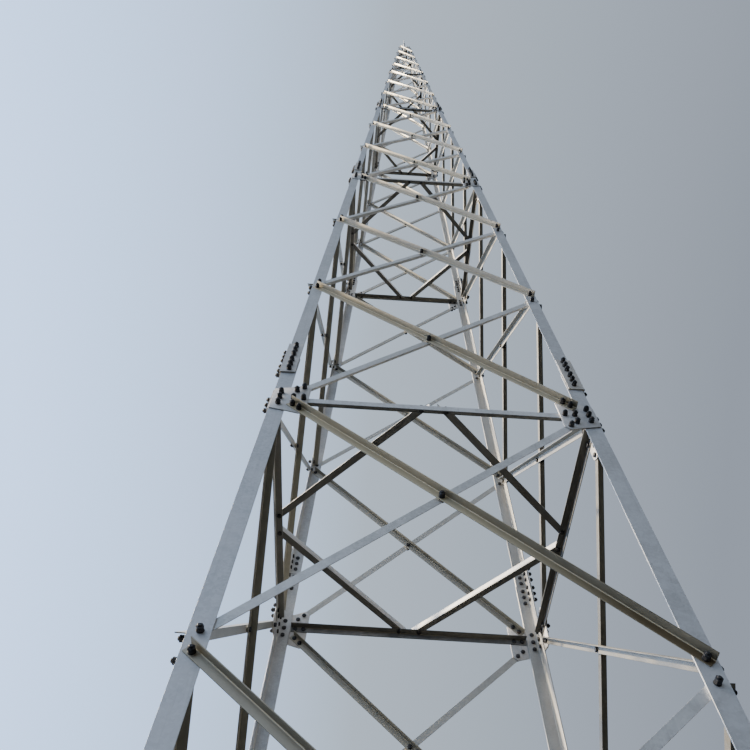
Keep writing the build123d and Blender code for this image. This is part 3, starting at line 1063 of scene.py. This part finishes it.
class TOWER_OT_splice_bolts(TowerOperator):
    """Bolts the cover angles to the legs above and below each butt"""

    bl_idname = "tower.splice_bolts"
    bl_label = "Splice bolts"

    def execute(self, context):
        bolts = context.scene.tower_bolts
        for section in SECTIONS[1:]:
            gathered = Fasteners(section, bolts.leg_bolt if section < SECTIONS[-1] else bolts.small_bolt)
            for cover in bars(f"section_{section}_leg_splices"):
                for index in (0, 1):
                    for end in (0, 1):
                        self.bolt_flange(gathered, cover, index, end, bolts)
            gathered.piece(f"splice_{section}_bolts", "plate_steel")
        return {"FINISHED"}

    def bolt_flange(self, gathered, cover, index, end, bolts):
        """The three bolts of a flange on one side of the butt."""
        stagger = bolts.splice_stagger * (1 if index == end else -1) / 2
        inner = cover.walls[index]
        across = inner + (cover.widths[index] - inner) / 2 + bolts.gauge_shift
        for step in range(3):
            distance = bolts.splice_end + step * bolts.splice_pitch + stagger
            gathered.bolt(cover.point(end, distance, index, across), cover.outward(index))


class TOWER_OT_foot_bolts(TowerOperator):
    """Anchors the foot plates, and bolts the shoes and earthing lugs"""

    bl_idname = "tower.foot_bolts"
    bl_label = "Foot bolts"

    def execute(self, context):
        bolts = context.scene.tower_bolts
        size, top = bolts.anchor_bolt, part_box("foot_plates")[1].z
        anchors = Fasteners(11, size)
        anchors.thread_end = size * ANCHOR_THREAD
        stud = turned([(size / 2, STUD_FOOT), (size / 2, top)], 20)
        for mount in frame["record"]["mounts"]:
            if mount["kind"] != "bolt_pattern":
                continue
            centre, half = Vector(mount["pos_m"]), mount["dims"]["spacing_x_mm"] / 2000
            for x in (-half, half):
                for y in (-half, half):
                    place = Vector((centre.x + x, centre.y + y, top))
                    anchors.nuts(place, UP)
                    anchors.add(stud, place - UP * top, UP)
        anchors.piece("anchor_bolts", "foot_steel")
        gathered = Fasteners(12, bolts.leg_bolt)
        gathered.bolt_legs(1, [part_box("foot_shoes")[0].z + height for height in SHOE_BOLT_HEIGHTS])
        gathered.size = bolts.small_bolt
        shape = whole_node("earth_lugs")
        for group in islands(shape):
            # Each vertex once, in an order that stays the same from run to run
            vertices = dict.fromkeys(vertex for face in group for vertex in face.verts)
            self.bolt_lug(gathered, vertices)
        shape.free()
        gathered.piece("foot_joint_bolts", "foot_steel")
        return {"FINISHED"}

    def bolt_lug(self, gathered, vertices):
        """The earthing bolt in the hole of a lug."""
        heights = [vertex.co.z for vertex in vertices]
        low, high = min(heights) + LUG_MARGIN, max(heights) - LUG_MARGIN
        rim = [vertex.co for vertex in vertices if low < vertex.co.z < high]
        centre = sum(rim, Vector()) / len(rim)
        spread = [max(point[axis] for point in rim) - min(point[axis] for point in rim) for axis in (0, 1)]
        axis = Vector((1, 0, 0)) if spread[0] < spread[1] else Vector((0, 1, 0))
        gathered.bolt(centre, axis, (min(spread) / 2,) * 2)


class TOWER_OT_rod_bolts(TowerOperator):
    """Bolts the rod's seat to its cradle and clamps the tube in its socket"""

    bl_idname = "tower.rod_bolts"
    bl_label = "Rod bolts"

    def execute(self, context):
        bolts = context.scene.tower_bolts
        gathered = Fasteners(21, bolts.small_bolt)
        half = (SEAT_HIGH - SEAT_LOW) / 2
        right, back = half.x - SEAT_BOLT_INSET[0], half.y - SEAT_BOLT_INSET[1]
        for x in (-right, right):
            for y in (-back, back):
                gathered.bolt(on_axis(SEAT_LOW.z + SEAT_PLATE / 2) + Vector((x, y, 0)), UP)
        gathered.size = bolts.clamp_screw
        for drop in CLAMP_SCREW_DROPS:
            for turn in (0, 120, 240):
                gathered.nuts(self.surface(SEAT_HIGH.z - drop, turn, SOCKET_WALL), sideways(turn))
        gathered.piece("rod_seat_bolts", "rod_steel")
        gathered = Fasteners(22, bolts.needle_screw)
        screw = bolt_parts(bolts.needle_screw, bolts.thread_end)[0]
        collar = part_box("rod_needle")[0].z + bolts.collar_screw
        for turn in (60, 180, 300):
            gathered.add(screw, self.surface(collar, turn, COLLAR_WALL), sideways(turn), 0.3)
        gathered.piece("collar_screws", "needle_steel")
        return {"FINISHED"}

    def surface(self, height, turn, radius):
        """Point of a tube's surface at a height and turn, found from a radius within its wall."""
        axis = sideways(turn)
        point = on_axis(height) + axis * radius
        return point + axis * reach(point, axis)


class TOWER_OT_welds(TowerOperator):
    """Welds the shoes, ribs and legs to the foot plates, and the socket to the rod's seat"""

    bl_idname = "tower.welds"
    bl_label = "Welds"

    def execute(self, context):
        size = context.scene.tower_steel.weld_size
        beads = Beads(3, size)
        for node in ("foot_shoes", "foot_ribs", "section_1_legs"):
            self.weld_down(beads, node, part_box("foot_plates")[1].z)
        beads.piece("foot_welds", "foot_steel")
        beads = Beads(5, size * SOCKET_WELD)
        beads.round(on_axis(SEAT_LOW.z + SEAT_PLATE), self.socket_radius())
        beads.piece("socket_weld", "rod_steel")
        return {"FINISHED"}

    def socket_radius(self):
        """Outer radius of the rod's socket."""
        rim = SEAT_HIGH.z - 0.001
        points = [vertex.co for vertex in frame["nodes"]["rod_seat"].data.vertices]
        return max((point - on_axis(point.z)).length for point in points if point.z > rim)

    def weld_down(self, beads, node, floor):
        """Beads along the free lower edges of what stands on the foot plates."""
        shortest, clear, step, seam = 0.03, 0.004, 0.0005, 0.002
        shape = whole_node(node)
        for face in shape.faces:
            if face.normal.z > -0.9 or face.calc_center_median().z > floor + seam:
                continue
            for loop in face.loops:
                start, end = loop.vert.co.copy(), loop.link_loop_next.vert.co.copy()
                out = (end - start).normalized().cross(face.normal)
                out.z = 0
                out.normalize()
                middle = (start + end) / 2 + UP * clear
                hit = STEEL.ray_cast(middle + out * step, out, clear)[0]
                if (end - start).length > shortest and hit is None:
                    lift = UP * (floor - start.z)
                    beads.straight(start + lift, end + lift, out)
        shape.free()


class TOWER_OT_stage(TowerOperator):
    """Sets the floor, backdrop, light and camera"""

    bl_idname = "tower.stage"
    bl_label = "Stage"

    def execute(self, context):
        stage = context.scene.tower_stage
        self.floor(stage)
        self.backdrop(context, stage)
        self.light(stage, "key")
        self.light(stage, "glow")
        self.camera(context, stage)
        return {"FINISHED"}

    def floor(self, stage):
        """A plain pale floor, which throws no light of its own at the undersides."""
        finish = Finish("floor_finish")
        tone = finish.mix(finish.noise(0.6, 3.0), rgba(stage.floor, 0.97), rgba(stage.floor, 1.03))
        half = 8000.0
        mesh = bpy.data.meshes.new("floor")
        corners = [(-half, -half, 0.0), (half, -half, 0.0), (half, half, 0.0), (-half, half, 0.0)]
        mesh.from_pydata(corners, [], [(0, 1, 2, 3)])
        mesh.materials.append(finish.finish(tone, 0.85, 0.0))
        floor = placed("floor", mesh)
        floor.visible_diffuse = False
        floor.visible_glossy = False

    def backdrop(self, context, stage):
        """Soft light, brighter on the left, tinted in front and dark from below."""
        world = bpy.data.worlds.new("backdrop")
        sky = Shader(world)
        direction = sky.node("ShaderNodeTexCoord", output="Generated")
        across = sky.axis(direction, "X").ramp(-0.42, 0.42, "LINEAR")
        above = sky.axis(direction, "Z").ramp(-0.02, 0.0, "LINEAR")
        ahead = sky.axis(direction, "Y").ramp(-0.5, 0.05)
        stops = [rgba(getattr(stage, f"backdrop_{place}")) for place in ("left", "middle", "right")]
        tone = sky.node("ShaderNodeValToRGB", {"stops": stops}, {0: across})
        tone = sky.mix(above, rgba(stage.backdrop_below), tone)
        front = sky.mix(ahead, rgba(stage.front_tint), (1.0, 1.0, 1.0, 1.0))
        tone = sky.mix(1.0, tone, front, "MULTIPLY")
        light = sky.node("ShaderNodeBackground", {}, {"Color": tone, "Strength": stage.backdrop_light})
        sky.node("ShaderNodeOutputWorld", {}, {"Surface": light})
        context.scene.world = world

    def light(self, stage, name):
        """A distant soft light from the left, and slightly from behind the tower."""
        data = bpy.data.lights.new(f"{name}_light", "SUN")
        data.energy = getattr(stage, f"{name}_light")
        data.color = getattr(stage, f"{name}_colour")
        data.angle = getattr(stage, f"{name}_spread")
        across, behind, down = math.cos(stage.key_height), 0.1, math.sin(stage.key_height)
        direction = Vector((across, -across * behind, -down))
        placed(data.name, data).rotation_euler = direction.to_track_quat("-Z", "Y").to_euler()

    def camera(self, context, stage):
        """The camera at a person's eye height, looking up the front of the tower."""
        data = bpy.data.cameras.new("camera")
        data.sensor_fit = "HORIZONTAL"
        data.sensor_width = 36
        data.lens = stage.lens
        data.shift_y = stage.rise
        data.clip_end = 20000
        turn = Matrix.Rotation(-stage.yaw, 4, "Z") @ Matrix.Rotation(math.pi / 2 + stage.pitch, 4, "X")
        turn = turn @ Matrix.Rotation(stage.roll, 4, "Z")
        camera = placed("camera", data)
        camera.matrix_world = Matrix.Translation(on_axis(0) + Vector(stage.eye)) @ turn
        context.scene.camera = camera


OPERATORS = (
    TOWER_OT_stage,
    TOWER_OT_leg_angles,
    TOWER_OT_side_bracing,
    TOWER_OT_level_struts,
    TOWER_OT_plates,
    TOWER_OT_rod,
    TOWER_OT_brace_bolts,
    TOWER_OT_joint_bolts,
    TOWER_OT_splice_bolts,
    TOWER_OT_foot_bolts,
    TOWER_OT_rod_bolts,
    TOWER_OT_welds,
)

SETTINGS = {
    "tower_steel": TowerSteelSettings,
    "tower_bolts": TowerBoltSettings,
    "tower_finish": TowerFinishSettings,
    "tower_stage": TowerStageSettings,
}


class TOWER_PT_panel(bpy.types.Panel):
    """The tower's settings and steps"""

    bl_idname = "TOWER_PT_panel"
    bl_label = "Lightning tower"
    bl_space_type = "VIEW_3D"
    bl_region_type = "UI"
    bl_category = "Tower"

    def draw(self, context):
        for name in SETTINGS:
            settings = getattr(context.scene, name)
            box = self.layout.box()
            for key in settings.__annotations__:
                box.prop(settings, key)
        for operator in OPERATORS:
            self.layout.operator(operator.bl_idname)


def register():
    """Registers the settings, operators and panel."""
    for name, group in SETTINGS.items():
        bpy.utils.register_class(group)
        setattr(bpy.types.Scene, name, PointerProperty(type=group))
    for operator in OPERATORS:
        bpy.utils.register_class(operator)
    bpy.utils.register_class(TOWER_PT_panel)


def unregister():
    """Removes the panel, operators and settings."""
    bpy.utils.unregister_class(TOWER_PT_panel)
    for operator in reversed(OPERATORS):
        bpy.utils.unregister_class(operator)
    for name, group in SETTINGS.items():
        delattr(bpy.types.Scene, name)
        bpy.utils.unregister_class(group)


def main():
    """Makes every piece and the stage."""
    register()
    for operator in OPERATORS:
        group, name = operator.bl_idname.split(".")
        getattr(getattr(bpy.ops, group), name)()


if __name__ == "__main__":
    main()
